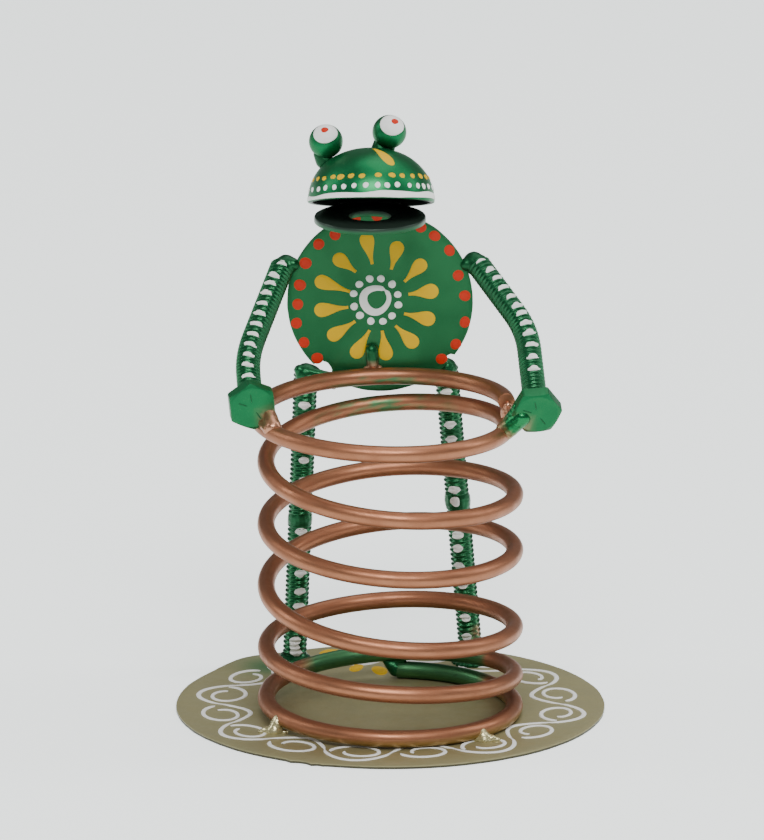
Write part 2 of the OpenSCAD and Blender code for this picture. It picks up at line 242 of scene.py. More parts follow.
def sprayed_paint(name, colour, dark, flake, gloss, metallic, drift=0.4, flakes=0.25, coat=0.0, peel=0.3, mists=()):
    """A paint of the sprayed coat above. Each mist is (mark on the mesh, colour laid over the paint there); most are
    stray spray, and some are painted shade and painted shadow.
    """
    material = bpy.data.materials.new(name)
    material.use_nodes = True
    tree = material.node_tree
    shader = tree.nodes["Principled BSDF"]
    for label, value in (("Metallic", metallic), ("Specular IOR Level", 0.3), ("Coat Weight", coat),
                         ("Coat Roughness", 0.12)):
        shader.inputs[label].default_value = value
    coat_node = add_node(tree, "ShaderNodeGroup", (-700, 0), node_tree=spray)
    for label, value in (("Colour", (*colour, 1.0)), ("Dark", (*dark, 1.0)), ("Flake", (*flake, 1.0)),
                         ("Drift", drift), ("Flakes", flakes), ("Gloss", gloss)):
        coat_node.inputs[label].default_value = value
    paint_colour = coat_node.outputs["Colour"]
    for row, (marked, mist_colour) in enumerate(mists):
        amount = add_node(tree, "ShaderNodeAttribute", (-700, -300 - 250 * row), attribute_name=marked)
        mix = add_node(tree, "ShaderNodeMix", (-350 + 150 * row, 0), data_type="RGBA")
        mix.inputs["B"].default_value = (*mist_colour, 1.0)
        tree.links.new(amount.outputs["Fac"], mix.inputs["Factor"])
        tree.links.new(paint_colour, mix.inputs["A"])
        paint_colour = mix.outputs["Result"]
    tree.links.new(paint_colour, shader.inputs["Base Color"])
    tree.links.new(coat_node.outputs["Roughness"], shader.inputs["Roughness"])
    bump = add_node(tree, "ShaderNodeBump", (-250, -300))
    bump.inputs["Strength"].default_value = peel
    bump.inputs["Distance"].default_value = 0.00012
    tree.links.new(coat_node.outputs["Height"], bump.inputs["Height"])
    tree.links.new(bump.outputs["Normal"], shader.inputs["Normal"])
    return material


# The last mist is a painted contact shadow: a dark band along the lower part of the plate's cut edge.
antique_gold = sprayed_paint(
    "antique_gold_spray", (0.325, 0.300, 0.160), (0.245, 0.222, 0.110), (0.50, 0.46, 0.26), gloss=0.42, metallic=0.45,
    drift=0.35, mists=[("green_mist", (0.018, 0.150, 0.055)), ("gold_mist", (0.21, 0.135, 0.045)),
                       ("edge_painted_shadow", (0.020, 0.018, 0.012))])
plate_top = box_mm("base_plate")[1].z
plate_r = 54.0
plate_sides = 360
edge_round = 0.12
crease_at = radians(134)
flakes_at = [(radians(249), 0.9), (radians(243), 0.7), (radians(252), 0.5)]  # slivers left on the edge


def plate_edge(angle):
    """Radius of the plate's cut edge."""
    wobble = 0.16 * noise.noise(Vector((5 * cos(angle), 5 * sin(angle), 3)))
    burr = 0.10 * noise.noise(Vector((40 * cos(angle), 40 * sin(angle), 7)))
    flake = sum(size * exp(-((angle - at) / 0.018) ** 2) for at, size in flakes_at)
    return plate_r - 0.1 + wobble + burr + flake


def plate_lift(x, y):
    """How far the sheet stands off the table: nothing, except at the crease."""
    angle, r = atan2(y, x), hypot(x, y)
    return 0.9 * exp(-((angle - crease_at) / 0.16) ** 2) * max(0.0, (r - 42) / 12) ** 1.6


def on_sheet(x, y, drop):
    return (x, y, plate_top - drop + plate_lift(x, y))


plate_rings = [(r, 0.0) for r in (10, 20, 28, 32, 35, 38, 40, 42, 44, 46, 48, 50, 52)]
plate_rings += [(lambda a, inset=inset: plate_edge(a) - inset, drop) for inset, drop in (
    (edge_round, 0.0), (0.03, 0.04), (0.0, edge_round), (0.0, 0.3), (0.0, 0.34), (0.0, 0.68), (0.06, 0.8))]
plate = make_piece("base_plate_sheet", *turned(plate_rings, plate_sides, on_sheet, [(0, 0, plate_top), (0, 0, 0)]),
                   antique_gold, "plate_gold", ["base_plate"])
mark(plate, "green_mist", lambda p: 0.8 * exp(-((p.x + 31) ** 2 + (p.y - 33) ** 2) / 50))
mark(plate, "gold_mist", lambda p: 0.4 * max(0.0, 1 - abs(hypot(p.x, p.y) - 43) / 10)
     * limited((-p.y - 22) / 14))
# Painted shadow: the lower part of the cut edge is darkened all round, as a contact shadow under the sheet.
mark(plate, "edge_painted_shadow", lambda p: 0.9 * (p.z - plate_lift(p.x, p.y) < plate_top - 0.3))

# White scrolls round the plate's edge and three yellow dabs behind the coil, painted by hand with a fine
# brush: a vine that waves along the band, with a curl on each bend, turned in and out by turns.
paint_lift = 0.22


def facing_out(surface, at, pts, fs, sample):
    """The faces, turned over if a sample of them looks into the surface."""
    a, b, c = (Vector(pts[i]) for i in fs[sample][:3])
    outward = Vector(surface(at[0], at[1], 1.0)) - Vector(surface(at[0], at[1], 0.0))
    return fs if (b - a).cross(c - a).dot(outward) > 0 else [tuple(reversed(f)) for f in fs]


def brush_line(surface, path, width, lift):
    """Points and faces of a raised line of paint along a path on a surface(u, v, lift)."""
    across = [(-1.0, -0.04), (-0.7, 0.75 * lift), (0.0, lift), (0.7, 0.75 * lift), (1.0, -0.04)]
    pts = []
    for i, (u, v) in enumerate(path):
        before, after = path[max(i - 1, 0)], path[min(i + 1, len(path) - 1)]
        du, dv = after[0] - before[0], after[1] - before[1]
        size = hypot(du, dv) or 1.0
        end = min(i, len(path) - 1 - i) / 3.0
        half = width(i / (len(path) - 1)) / 2 * min(1.0, 0.35 + end)
        for side, up in across:
            pts.append(surface(u - dv / size * half * side, v + du / size * half * side, up))
    n = len(across)
    return pts, facing_out(surface, path[len(path) // 2], pts, [
        (i * n + k, i * n + k + 1, (i + 1) * n + k + 1, (i + 1) * n + k)
        for i in range(len(path) - 1) for k in range(n - 1)], (len(path) // 2) * (n - 1))


def brush_spot(surface, u, v, outline, lift, rings=4):
    """Points and faces of one dab of paint: outline is its edge as (u, v) steps from its middle."""
    pts = [surface(u, v, lift)]
    for j in range(1, rings + 1):
        t = j / rings
        up = lift * sqrt(max(0.0, 1 - t ** 4)) - (0.05 if j == rings else 0.0)
        pts += [surface(u + du * t, v + dv * t, up) for du, dv in outline]
    n = len(outline)
    fs = [(0, 1 + k, 1 + (k + 1) % n) for k in range(n)]
    fs += [(1 + j * n + k, 1 + (j + 1) * n + k, 1 + (j + 1) * n + (k + 1) % n, 1 + j * n + (k + 1) % n)
           for j in range(rings - 1) for k in range(n)]
    return pts, facing_out(surface, (u, v), pts, fs, 0)


def join(parts):
    """One list of points and faces out of several."""
    pts, fs = [], []
    for part_points, part_faces in parts:
        fs += [tuple(i + len(pts) for i in f) for f in part_faces]
        pts += part_points
    return pts, fs


def painted(name, parts, material, slot="frog_green"):
    """One piece of raised paint from several lines and dabs."""
    return make_piece(name, *join(parts), material, slot, closed=False)


def oval(half_u, half_v, turn=0.0, wobble=0.0, rng=None, count=24):
    """Edge of an oval dab, a little uneven if wobble is given."""
    phase = rng.uniform(0, 6.28) if rng else 0.0
    edge = []
    for k in range(count):
        a = 2 * pi * k / count
        s = 1 + wobble * sin(2 * a + phase) + 0.6 * wobble * sin(3 * a + 2 * phase)
        x, y = half_u * s * cos(a), half_v * s * sin(a)
        edge.append((x * cos(turn) - y * sin(turn), x * sin(turn) + y * cos(turn)))
    return edge


def brushed_paint(name, colour, dark, gloss=0.32):
    """Thick hobby enamel put on with a brush."""
    material = sprayed_paint(name, colour, dark, colour, gloss, 0.0, drift=0.35, flakes=0.0)
    material.node_tree.nodes["Principled BSDF"].inputs["Specular IOR Level"].default_value = 0.12
    return material


white_enamel = brushed_paint("white_enamel", (0.84, 0.84, 0.81), (0.74, 0.74, 0.71))
yellow_enamel = brushed_paint("yellow_enamel", (0.66, 0.40, 0.001), (0.56, 0.31, 0.001))
red_enamel = brushed_paint("orange_red_enamel", (0.50, 0.028, 0.009), (0.42, 0.021, 0.007))


def on_plate(u, v, lift):
    """u is the angle round the plate as millimetres along the vine, v the distance outside the vine."""
    a, r = u / vine_r, vine_r + v
    x, y = r * cos(a), r * sin(a)
    return (x, y, plate_top + plate_lift(x, y) + lift)


vine_r = 42.8
bends = 16
bend_length = 2 * pi * vine_r / bends
scroll_rng = random.Random(4)
scroll_parts = []
for k in range(bends):
    start = k * bend_length
    side = 1 if k % 2 else -1
    rise = scroll_rng.uniform(6.2, 7.1)
    curl_r = scroll_rng.uniform(4.9, 5.6)
    vine = [(start + bend_length * t, side * rise * sin(pi * t) ** 0.8) for t in even_steps(28)]
    scroll_parts.append(brush_line(on_plate, vine, lambda t: 1.0 + 0.3 * sin(pi * t), paint_lift))
    curl = []
    middle_u, middle_v = start + bend_length * 0.52, side * (rise - curl_r - 1.5)
    for t in even_steps(55):
        a = pi * 0.92 + side * 2 * pi * 1.02 * t
        r = curl_r * (1 - 0.52 * t)
        curl.append((middle_u + 1.3 * r * cos(a), middle_v + r * sin(a)))
    scroll_parts.append(brush_line(on_plate, curl, lambda t: 1.2 - 0.25 * t, paint_lift * 1.1))
painted("plate_scrolls", scroll_parts, white_enamel, "plate_gold")


def flat_on_plate(u, v, lift):
    return (u, v, plate_top + lift)


plate_dabs = [brush_spot(flat_on_plate, x, y, oval(across, along, turn, 0.06, scroll_rng), paint_lift)
              for x, y, across, along, turn in ((-15.6, 46.5, 2.3, 3.4, -0.5), (-8.6, 32.5, 1.8, 3.8, -0.2),
                                                (-2.7, 30.0, 2.1, 4.3, 0.1))]
painted("plate_dabs", plate_dabs, yellow_enamel, "plate_gold")

# ------------------------------------------------------------------ coil spring
# Round steel wire wound by hand into six and a bit uneven turns, with both ends cut square, and sprayed
# copper. It is welded to the plate, to the body disc and to both hands. The green went on afterwards, so
# some of it shows as mist near the disc and on the wire's lower end.
wire_r = 2.2
coil_low, coil_high, coil_mid = box_mm("coil_spring")
coil_r, coil_y = (coil_high.y - coil_low.y) / 2 - wire_r, coil_mid.y
coil_rise = 77.6
first_turn, last_turn = 0.01, 6.24
top_lean, lean_from, lean_over = 2.1, 4.75, 0.5
rise_shares = [0, 0.004, 0.058, 0.153, 0.237, 0.303, 0.501, 0.535, 0.684, 0.732, 0.901, 0.948, 0.992, 1.02]


def rise_at(turn):
    """Share of the coil's height reached at a turn: a smooth curve through its half-turn heights."""
    i = int(2 * turn)
    f = 2 * turn - i
    knot = lambda j: rise_shares[max(0, min(len(rise_shares) - 1, j))]
    a, b = knot(i), knot(i + 1)
    ma, mb = (b - knot(i - 1)) / 2, (knot(i + 2) - a) / 2
    return a + f * ma + f * f * (3 * (b - a) - 2 * ma - mb) + f ** 3 * (2 * (a - b) + ma + mb)


def coil_point(turn):
    """The wire's centre line at a turn, counted from the back."""
    u = limited((turn - lean_from) / lean_over)
    return Vector((coil_r * sin(2 * pi * turn) - top_lean * u * u * (3 - 2 * u),
                   coil_y + coil_r * cos(2 * pi * turn),
                   plate_top + wire_r + coil_rise * rise_at(turn)))


def steady_frames(path, up):
    """Two crosswise directions at each point of a path that don't twist along it."""
    frames, side = [], None
    for i in range(len(path)):
        ahead = (path[min(i + 1, len(path) - 1)] - path[max(i - 1, 0)]).normalized()
        side = ahead.cross(up) if side is None else side - side.dot(ahead) * ahead
        side = side.normalized()
        frames.append((side, side.cross(ahead)))
    return frames


def round_bar(path, frames, radius, sides, end_round=0.3):
    """Points and faces of a bar along a path. radius(i, angle) is its radius; its ends are cut and broken."""
    def ring(i, ahead, inset):
        side, lift = frames[i]
        return [path[i] + ahead + (radius(i, a) - inset) * (cos(a) * side + sin(a) * lift)
                for a in round_angles(sides)]

    pts = [p for i in range(len(path)) for p in ring(i, Vector(), 0.0)]
    fs = ring_faces(len(path), sides)
    for i, facing in ((0, -1), (len(path) - 1, 1)):
        ahead = facing * (path[min(i + 1, len(path) - 1)] - path[max(i - 1, 0)]).normalized()
        first = i * sides
        for inset, out in ((end_round * 0.3, end_round * 0.7), (end_round, end_round)):
            nxt = len(pts)
            pts += ring(i, ahead * out, inset)
            fs += [(first + k, first + (k + 1) % sides, nxt + (k + 1) % sides, nxt + k) for k in range(sides)]
            first = nxt
        pts.append(path[i] + ahead * end_round)
        fs += fan(len(pts) - 1, first, sides)
    return pts, fs


copper_spray = sprayed_paint(
    "copper_spray", (0.335, 0.140, 0.074), (0.235, 0.092, 0.048), (0.62, 0.36, 0.23), gloss=0.38, metallic=0.88,
    drift=0.45, flakes=0.20, peel=0.12,
    mists=[("green_mist", (0.045, 0.185, 0.080)), ("gold_mist", (0.42, 0.30, 0.12))])
coil_steps = int((last_turn - first_turn) * 90)
coil_path = [coil_point(first_turn + (last_turn - first_turn) * i / coil_steps) for i in range(coil_steps + 1)]
coil_frames = steady_frames(coil_path, Vector((0, 0, 1)))


def wire_radius(i, angle):
    place = Vector((i * 0.09, 2 * cos(angle), 2 * sin(angle)))
    return wire_r - 0.03 + 0.05 * noise.noise(place)


coil = make_piece("coil_wire", *round_bar(coil_path, coil_frames, wire_radius, 28), copper_spray, "coil_copper",
                  ["coil_spring"])


def green_on_coil(p):
    broken = noise.noise(Vector((p.x * 0.22, p.z * 0.9, p.y * 0.5))) + 0.5 * noise.noise(p * 1.2)
    if p.z < 13 and p.y > 10:
        end = (27 - p.x) / 5 if p.x > 0 else (p.x + 23) / 4
        return 0.95 * limited(end)
    lower_half = p.z < coil_point(5.99).z + 0.6
    by_disc = exp(-((p.x + 1) / 12) ** 2) * (p.y > 15) * (p.z > 79) * lower_half
    by_ring = exp(-((p.x + 2) / 15) ** 2) * (p.y > 15) * (60 < p.z < 79)
    return 0.9 * max(by_disc, by_ring) * limited(3.0 * broken + 0.25)


def gold_on_coil(p):
    return 0.9 * limited((3.6 - p.z) / 1.8) * (p.y < 5)


mark(coil, "green_mist", green_on_coil)
mark(coil, "gold_mist", gold_on_coil)

# ------------------------------------------------------------------ welds at the foot of the coil
# Small lumps of weld metal: two tack the lowest ring to the plate at the front and were sprayed pale gold
# with it. At the back one ties the wire's lower end to the turn above, under the green.
def weld_lump(node, paint, seed, ripple, *runs):
    """Melted metal for a CAD node: runs of round blobs (point, radius) joined, then roughened with ripples."""
    mould = bmesh.new()
    for place, r in [blob for run in runs for blob in run]:
        moved = Matrix.Translation(Vector(place) * MM)
        bmesh.ops.create_icosphere(mould, subdivisions=3, radius=r * MM, matrix=moved)
    mesh = bpy.data.meshes.new(node + "_mould")
    mould.to_mesh(mesh)
    mould.free()
    rough = add_object(node + "_mould", mesh)
    melt = rough.modifiers.new("melt", "REMESH")
    melt.mode, melt.voxel_size = "VOXEL", 0.22 * MM
    ease = rough.modifiers.new("ease", "SMOOTH")
    ease.factor, ease.iterations = 0.6, 6
    settled = rough.evaluated_get(bpy.context.evaluated_depsgraph_get()).data
    pts = []
    for v in settled.vertices:
        p = Vector(v.co) / MM
        wave = noise.noise(p * 0.9 + Vector((seed, 0, 0))) + 0.5 * noise.noise(p * 2.2 + Vector((0, seed, 0)))
        p += Vector(v.normal) * ripple * wave
        pts.append(Vector((p.x, p.y, max(p.z, plate_top - 0.3))))
    fs = [tuple(f.vertices) for f in settled.polygons]
    bpy.data.objects.remove(rough)
    bpy.data.meshes.remove(mesh)
    return make_piece(node + "_metal", pts, fs, *paint, [node], sharp=180)


def bead(a, ra, b, rb, count=7, at=Vector((0, 0, 0))):
    """Blobs along a run of weld from a, of radius ra, to b, of radius rb. Both places are counted from at."""
    a, b = at + Vector(a), at + Vector(b)
    return [(a.lerp(b, t), ra + (rb - ra) * t) for t in even_steps(count - 1)]


# Each is a material and its slot.
gold_weld = (sprayed_paint("pale_gold_weld", (0.55, 0.50, 0.27), (0.40, 0.35, 0.17), (0.80, 0.76, 0.52), gloss=0.24,
                           metallic=0.70, drift=0.5, flakes=0.3, peel=0.4), "weld_gold")
# Its second mist is painted shade, used only on the weld inside the mouth.
green_weld = (sprayed_paint("dark_green_weld", (0.006, 0.085, 0.028), (0.003, 0.040, 0.016), (0.04, 0.26, 0.11),
                            gloss=0.32, metallic=0.70, drift=0.5, coat=0.05, mists=[
                                ("copper_mist", (0.46, 0.24, 0.15)), ("painted_shade", (0.004, 0.006, 0.006))]), "weld_green")
copper_weld = (sprayed_paint("copper_weld", (0.46, 0.225, 0.135), (0.33, 0.15, 0.088), (0.70, 0.45, 0.33), gloss=0.26,
                             metallic=0.85, flakes=0.3, mists=[("green_mist", (0.015, 0.165, 0.055))]), "weld_copper")

for node, turn, out, seed in (("left_base_weld", 0.665, 3.0, 1), ("right_base_weld", 0.377, 2.8, 2)):
    wire = coil_point(turn)
    away = Vector((sin(2 * pi * turn), cos(2 * pi * turn), 0))
    foot = Vector((wire.x, wire.y, plate_top)) + away * out
    weld_lump(node, gold_weld, seed, 0.12,
              bead(foot - away * 0.3, 2.0, wire + away * 1.5 - Vector((0, 0, 0.3)), 1.25),
              bead((-3.0, 0.2, 0.0), 0.8, (3.0, 0.2, 0.0), 0.9, 10, foot),
              bead((-1.6, 0.2, 0.4), 1.2, (1.5, 0.2, 0.4), 1.2, 6, foot))
wire_end = coil_point(first_turn)
weld_lump("coil_start_weld", green_weld, 3, 0.06,
          bead((-3.4, -0.4, 2.5), 0.7, (-0.5, -0.2, 0.2), 1.95, 12, wire_end),
          bead((-3.0, -0.4, 2.5), 0.8, (1.4, -0.3, 2.5), 0.8, 8, wire_end))

# ------------------------------------------------------------------ legs
# Each leg is two cut lengths of threaded rod, butt-welded at the knee, sprayed green and then dabbed with
# white. A puddle of weld round its foot holds it to the plate.
rod_r = 3.1
thread_pitch = 1.27
thread_depth = 0.50
torso_low, torso_high, torso_mid = box_mm("torso_disc")
torso_r = (torso_high.x - torso_low.x) / 2
to_front = Vector((0, -0.965, 0.262))

pearl_green = sprayed_paint("pearl_green", (0.010, 0.112, 0.036), (0.007, 0.085, 0.028), (0.03, 0.20, 0.08),
                            gloss=0.36, metallic=0.55, drift=0.15, peel=0.2,
                            mists=[("copper_mist", (0.40, 0.19, 0.11))])
thread_green = sprayed_paint("green_in_threads", (0.008, 0.112, 0.038), (0.004, 0.055, 0.020), (0.04, 0.26, 0.11),
                             gloss=0.22, metallic=0.70, drift=0.45, coat=0.20, peel=0.2,
                             mists=[("copper_mist", (0.40, 0.19, 0.11))])


def thread_radius(s, angle):
    """Radius of a right-hand screw thread with rounded, paint-filled crests, s along the rod."""
    wave = cos(2 * pi * (s / thread_pitch + angle / (2 * pi)))
    return rod_r - thread_depth * (0.5 - 0.5 * wave)


class ThreadedBar:
    """A bar along a path with its thread, and the places on it."""

    def __init__(self, corners, up):
        lengths = [0.0]
        for a, b in zip(corners, corners[1:]):
            lengths.append(lengths[-1] + (b - a).length)
        count = int(lengths[-1] / 0.14)
        self.step = lengths[-1] / count
        self.path, j = [], 0
        for i in range(count + 1):
            s = min(i * self.step, lengths[-1] - 1e-9)
            while s > lengths[j + 1]:
                j += 1
            self.path.append(corners[j].lerp(corners[j + 1], (s - lengths[j]) / (lengths[j + 1] - lengths[j])))
        self.frames = steady_frames(self.path, up)

    def nearest(self, s):
        return max(0, min(len(self.path) - 1, int(round(s / self.step))))

    def surface(self, s, angle, lift):
        i = self.nearest(s)
        side, up = self.frames[i]
        j = max(1, min(len(self.path) - 2, i))
        ahead = (self.path[j + 1] - self.path[j - 1]).normalized()
        r = thread_radius(s, angle) + lift
        return self.path[i] + ahead * (s - i * self.step) + r * (cos(angle) * side + sin(angle) * up)

    def facing(self, s, towards):
        """The angle round the bar that faces a direction."""
        side, up = self.frames[self.nearest(s)]
        return atan2(towards.dot(up), towards.dot(side))

    def mesh(self):
        return round_bar(self.path, self.frames, lambda i, a: thread_radius(i * self.step, a), 44, 0.35)


def thread_dabs(bar, dabs, outline):
    """White dabs on a bar. Each is (distance along it, millimetres to the right of the side that faces front)."""
    parts = []
    for s, aside in dabs:
        middle = bar.facing(s, to_front)
        right = bar.facing(s, Vector((1, 0, 0)))
        turn = atan2(sin(right - middle), cos(right - middle))
        v0 = (1 if turn > 0 else -1) * asin(max(-1, min(1, aside / rod_r)))
        place = lambda u, v, lift, s=s, m=middle + v0: bar.surface(s + u, m + v / rod_r, lift)
        parts.append(brush_spot(place, 0, 0, outline(), 0.10, rings=6))
    return parts


def almond(rng, long=1.85, tall=1.15):
    lean, size = rng.uniform(-0.12, 0.12), rng.uniform(0.9, 1.1)
    edge = [(tall * size * sin(a) * abs(sin(a)) ** 0.35, long * size * cos(a)) for a in round_angles(28)]
    return [(u + lean * v, v) for u, v in edge]


# Foot, hip, the knee's share of the way up, and the dabs: (distance up the leg, millimetres aside).
hip_y = torso_high.y + 0.05 + rod_r
legs = {
    "left": (Vector((-24.42, 37.4, plate_top)), Vector((-21.32, hip_y, torso_low.z + 4.2)), 0.495,
             [(70.8, 0.0), (61.7, 0.8), (56.0, 0.5), (50.6, 0.7), (44.8, 0.6), (36.7, 0.5), (30.5, 0.6), (25.3, 0.8),
              (20.4, 0.9), (16.3, 0.8), (11.0, 0.4), (6.9, 0.0), (5.3, -0.1), (3.8, 0.4)]),
    "right": (Vector((20.71, 37.4, plate_top)), Vector((14.01, hip_y, torso_low.z + 5.5)), 0.55,
              [(74.4, -0.6), (65.7, -0.3), (61.7, -0.3), (55.0, -0.6), (48.1, -0.8), (35.8, -0.9), (32.2, -1.2),
               (27.3, -1.2), (22.4, -0.6), (17.8, -0.7), (13.3, -0.7), (8.1, -0.8)])}
leg_rng = random.Random(11)
for side, (foot, hip, knee_share, dabs) in legs.items():
    knee = foot.lerp(hip, knee_share)
    shin, thigh = (ThreadedBar(ends, Vector((0, -1, 0))) for ends in ([foot, knee], [knee, hip]))
    shin_piece = make_piece(side + "_shin_thread", *shin.mesh(), thread_green, "frog_green", [side + "_shin_rod"],
                            sharp=180)
    make_piece(side + "_thigh_thread", *thigh.mesh(), thread_green, "frog_green", [side + "_thigh_rod"], sharp=180)
    if side == "right":
        mark(shin_piece, "copper_mist", lambda p: 0.9 * exp(-((p.z - 9.5) / 1.6) ** 2 - ((p.x - 22.2) / 1.4) ** 2)
             * (p.y < 37) * (0.6 + noise.noise(p)))
    to_knee = (knee - foot).length
    painted(side + "_leg_dabs",
            thread_dabs(shin, [d for d in dabs if d[0] < to_knee - 2], lambda: almond(leg_rng))
            + thread_dabs(thigh, [(s - to_knee, a) for s, a in dabs if s > to_knee + 2], lambda: almond(leg_rng)),
            white_enamel)
    along_leg, collar_r = (hip - foot).normalized(), 1.3 if side == "left" else 1.5
    round_leg = [Vector((cos(a), sin(a), 0)) for a in round_angles(16)]
    weld_lump(side + "_knee_weld", green_weld, 20 + len(side), 0.10,
              [(knee + out * 1.9 + along_leg * climb, collar_r - 0.1 * climb ** 2)
               for out in round_leg for climb in (-1.6, -0.8, 0.0, 0.8, 1.6)])
    puddle = [(foot + Vector((cos(a) * r, sin(a) * r, z)), leg_rng.uniform(thin, thick)) for a in round_angles(18)
              for r, z, thin, thick in ((2.2, 0.9, 1.7, 1.9), (3.2, 0.5, 1.35, 1.5), (4.2, 0.1, 0.95, 1.1))]
    weld_lump(side + "_foot_weld", green_weld, 30 + len(side), 0.10, puddle)
right_knee = legs["right"][0].lerp(legs["right"][1], legs["right"][2])


def on_right_knee(u, v, lift):
    a = v / 3.4
    return right_knee + Vector((3.4 * sin(a) - 0.6, -(3.42 + lift) * cos(a), u + 0.4))


painted("right_knee_dab", [brush_spot(on_right_knee, 0, 0, oval(1.3, 1.3, 0, 0.08, leg_rng), 0.2)], white_enamel,
        "weld_green")

# ------------------------------------------------------------------ body disc
# A steel disc on edge, sprayed green. Two burnt notches are in its rim over the legs. On its front a
# daisy of yellow petals round a white ring and dots, and orange-red dots round the rim.
torso_front, torso_back = torso_low.y, torso_high.y
notches = [(radians(231), 2.6), (radians(320), 1.3)]  # where each is round the rim, and its radius


def torso_edge(angle):
    """Radius of the disc's rim, which the notches cut into."""
    r = torso_r - 0.02 + 0.06 * noise.noise(Vector((9 * cos(angle), 9 * sin(angle), 1)))
    for at, size in notches:
        off = atan2(sin(angle - at), cos(angle - at))
        across = torso_r * sin(off)
        rough_size = size + 0.15 * noise.noise(Vector((angle * 60, size, 0)))
        if abs(off) < 0.4 and abs(across) < rough_size:
            r = min(r, torso_r * cos(off) - sqrt(rough_size ** 2 - across ** 2))
    return r


torso_t = torso_back - torso_front
profile = [(-1.5, 0.0), (-0.18, 0.0), (-0.05, 0.05), (0.0, 0.18), (0.0, torso_t - 0.18), (-0.05, torso_t - 0.05),
           (-0.18, torso_t), (-1.5, torso_t)]
torso_rings = [(6.0, 0.0), (14.0, 0.0)]
torso_rings += [(lambda a, inset=inset: torso_edge(a) + inset, depth) for inset, depth in profile]
torso_rings += [(14.0, torso_t), (6.0, torso_t)]
torso = make_piece("torso_sheet", *turned(
    torso_rings, 720, lambda x, y, depth: (torso_mid.x + x, torso_front + depth, torso_mid.z + y),
    [(torso_mid.x, y, torso_mid.z) for y in (torso_front, torso_back)]), pearl_green, "frog_green", ["torso_disc"])
belly_x, belly_z = coil_point(5.988).x, coil_point(5.988).z + wire_r
mark(torso, "copper_mist", lambda p: 0.7 * exp(-((p.x - belly_x + 3) / 3.2) ** 2 - ((p.z - belly_z - 0.5) / 1.6) ** 2)
     * (p.y < torso_front + 0.5) * (0.7 + noise.noise(p * 0.8)))


def on_torso(u, v, lift):
    return (torso_mid.x + u, torso_front - lift, torso_mid.z + v)


daisy_x, daisy_z = -1.0, 0.4
daisy_rng = random.Random(8)


def petal(angle, tip_r, fat_r, fat, lean):
    """Middle and edge of a drop-shaped petal from its tip near the ring to its fat outer end."""
    tip = Vector((daisy_x + tip_r * cos(angle), daisy_z + tip_r * sin(angle)))
    end = Vector((daisy_x + fat_r * cos(angle + lean), daisy_z + fat_r * sin(angle + lean)))
    ahead = (end - tip).normalized()
    left = Vector((-ahead.y, ahead.x))
    half = lambda t: 0.42 + (fat - 0.42) * (t * t * (3 - 2 * t)) ** 1.35
    tenths = even_steps(10)
    edge = [tip.lerp(end, t) + left * half(t) for t in tenths]
    edge += [end + fat * (sin(pi * t) * ahead + cos(pi * t) * left) for t in tenths[1:10]]
    edge += [tip.lerp(end, t) - left * half(t) for t in reversed(tenths)]
    middle = tip.lerp(end, 0.72)
    return middle.x, middle.y, [tuple(p - middle) for p in edge]


# Where each petal's tip starts, and how far it leans, going clockwise from the top one
petal_tips = (9.0, 8.5, 8.3, 8.0, 7.6, 8.0, 7.8, 7.7, 7.3, 6.9, 6.5, 8.6)
petal_leans = (3, 5, 6, -1, 7, 4, -1, -9, -7, -5, -1, 7)
petals = []
for k in range(12):
    u, v, edge = petal(radians(98.5 - 29.75 * k - petal_leans[k]), petal_tips[k], 15.9 if k == 0 else
                       daisy_rng.uniform(13.9, 14.6), daisy_rng.uniform(1.9, 2.1), radians(petal_leans[k]))
    petals.append(brush_spot(on_torso, u, v, edge, 0.13, rings=5))
painted("daisy_petals", petals, yellow_enamel)

ring_path = []
for i in range(49):
    a = 2 * pi * i / 48 + 0.8
    r = 3.15 + 0.16 * sin(2 * a + 1) + 0.12 * sin(3 * a)
    ring_path.append((daisy_x + 0.98 * r * cos(a), daisy_z + 0.05 + 1.04 * r * sin(a)))
white_on_torso = [brush_line(on_torso, ring_path, lambda t: 1.75 + 0.5 * sin(2 * pi * t - 1.2), 0.14)]
for k in range(12):
    a = radians(75.5 + 30 * k + daisy_rng.uniform(-2, 2))
    r = 5.75 + daisy_rng.uniform(-0.12, 0.12)
    size = daisy_rng.uniform(0.9, 1.08)
    white_on_torso.append(brush_spot(on_torso, daisy_x + r * cos(a), daisy_z + r * sin(a),
                                     oval(size, size, 0, 0.04, daisy_rng), 0.16))
painted("daisy_ring", white_on_torso, white_enamel)

rim_dots = []
for degrees, r in ((123, 20.7), (136, 21.4), (152, 21.2), (168, 20.6), (182, 20.7), (195, 21.8), (209, 22.0),
                   (223, 21.6), (106.5, 22.3), (92, 22.2), (78, 20.8), (62, 21.8), (51, 21.9), (37, 22.0), (19, 20.8),
                   (4, 21.4), (-14, 22.2), (-30, 22.2), (-44, 21.5)):
    a, size = radians(degrees), daisy_rng.uniform(1.5, 1.64)
    room = torso_edge(a) - 0.12 - r
    half = min(size, max(1.4, room))
    rim_dots.append(brush_spot(on_torso, r * cos(a) * (1 - max(0, size - room) / 60), r * sin(a),
                               oval(half, size, a, 0.03, daisy_rng), 0.14))
painted("torso_rim_dots", rim_dots, red_enamel)

